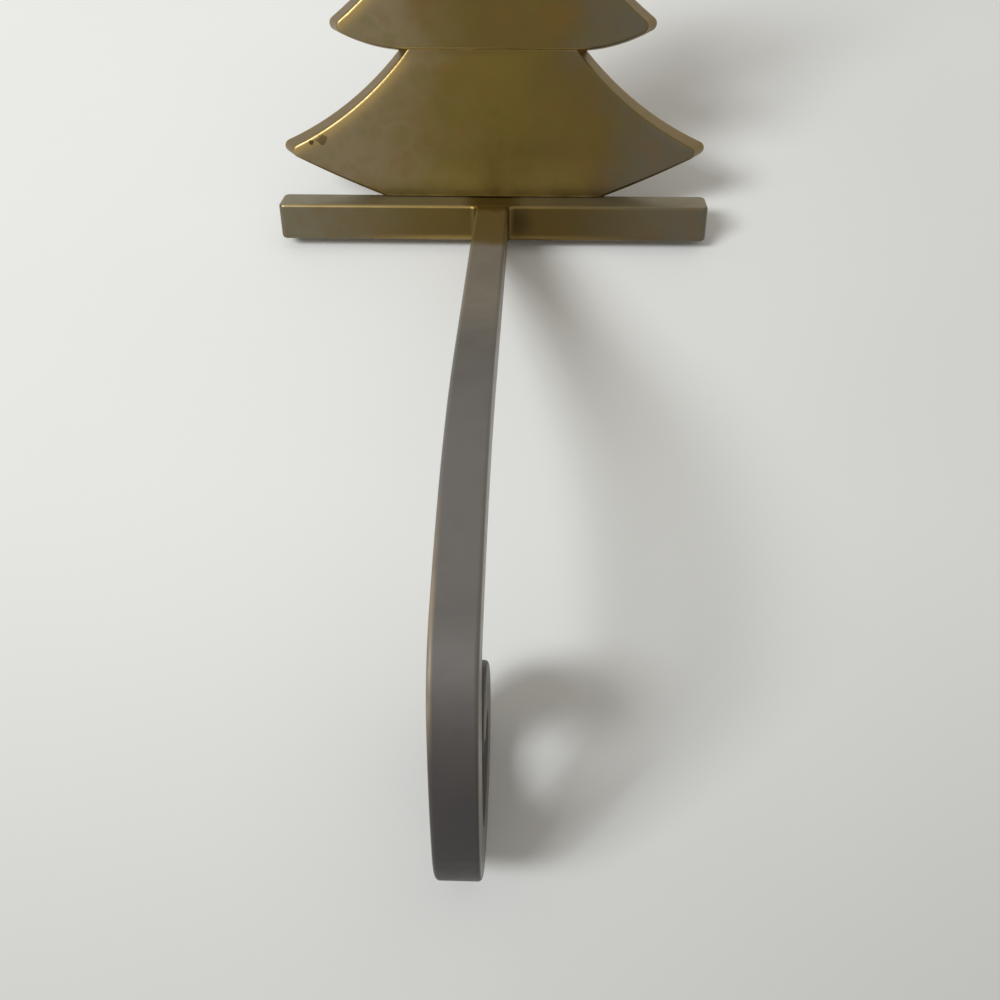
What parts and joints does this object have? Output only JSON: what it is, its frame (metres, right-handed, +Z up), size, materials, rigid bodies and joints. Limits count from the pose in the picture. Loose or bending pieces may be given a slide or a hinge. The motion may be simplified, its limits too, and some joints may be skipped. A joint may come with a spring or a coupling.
{
  "type": "mantel stocking holder",
  "caption": "Cast brass shelf holder: a crossbar with a long arm that curls into a scroll hook for a stocking's loop, and a flat fir tree standing on the bar.",
  "frame": {"origin": "centre of the crossbar's flat underside, where it sits on the shelf", "axes": "+Z up, +X to the right seen from the front, the arm and hook reach forward along -Y"},
  "size_m": [0.108, 0.1655, 0.1745],
  "materials": {
    "cast_brass": "aged satin",
    "screw_brass": "satin"
  },
  "bodies": {
    "root": {"hook_base": "cast_brass", "tree_figure": "cast_brass", "left_screw": "screw_brass", "right_screw": "screw_brass"}
  },
  "joints": []
}
